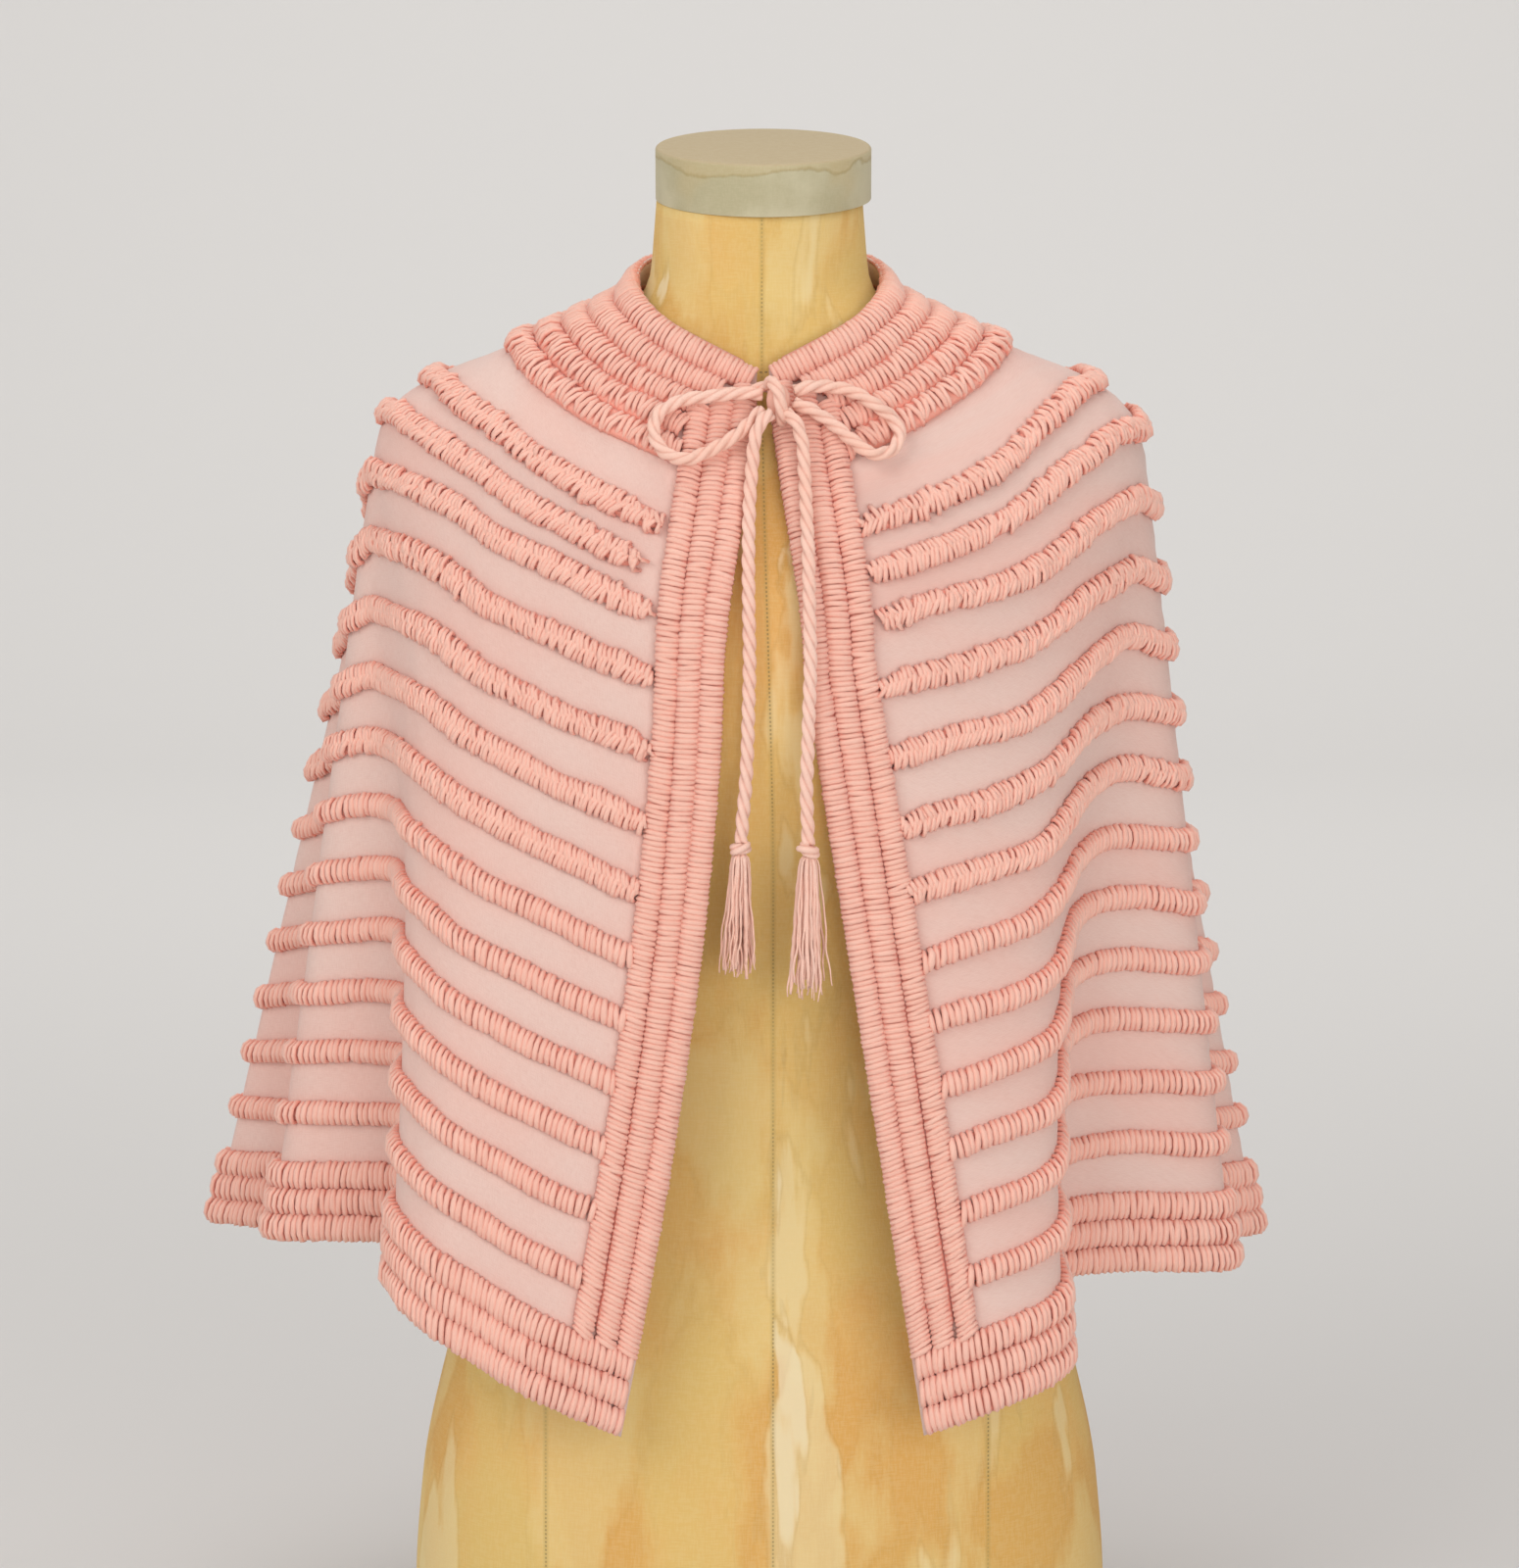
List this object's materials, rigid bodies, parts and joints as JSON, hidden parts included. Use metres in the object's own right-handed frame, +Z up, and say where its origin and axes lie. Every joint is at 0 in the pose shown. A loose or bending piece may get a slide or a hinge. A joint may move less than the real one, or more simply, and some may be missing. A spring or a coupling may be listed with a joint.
{
  "type": "chenille cape on a limbless dress form",
  "caption": "Short chenille cape with raised yarn rows, open in front and tied at the neck with a tasselled cord, worn by a limbless canvas dress form with a flat neck cap.",
  "frame": {"origin": "centre of the dress form's flat underside", "axes": "+Z up, the cape's open front faces -Y, +X towards the picture's right"},
  "size_m": [0.5875, 0.3929, 0.8291],
  "materials": {
    "cloth": "soft pink cotton cloth with chenille yarn rows",
    "cord": "twisted pale pink cotton cord",
    "canvas": "stained ochre canvas, matte",
    "cap": "matte khaki paint"
  },
  "bodies": {
    "root": {"cape_front_left": "cloth", "cape_front_right": "cloth", "cape_back_left": "cloth", "cape_back_right": "cloth", "bow_knot": "cord", "bow_loop_left": "cord", "bow_loop_right": "cord", "tie_end_left": "cord", "tie_end_right": "cord", "tie_knot_left": "cord", "tie_knot_right": "cord", "tassel_left": "cord", "tassel_right": "cord", "dress_form": "canvas", "neck_cap": "cap"}
  },
  "joints": []
}
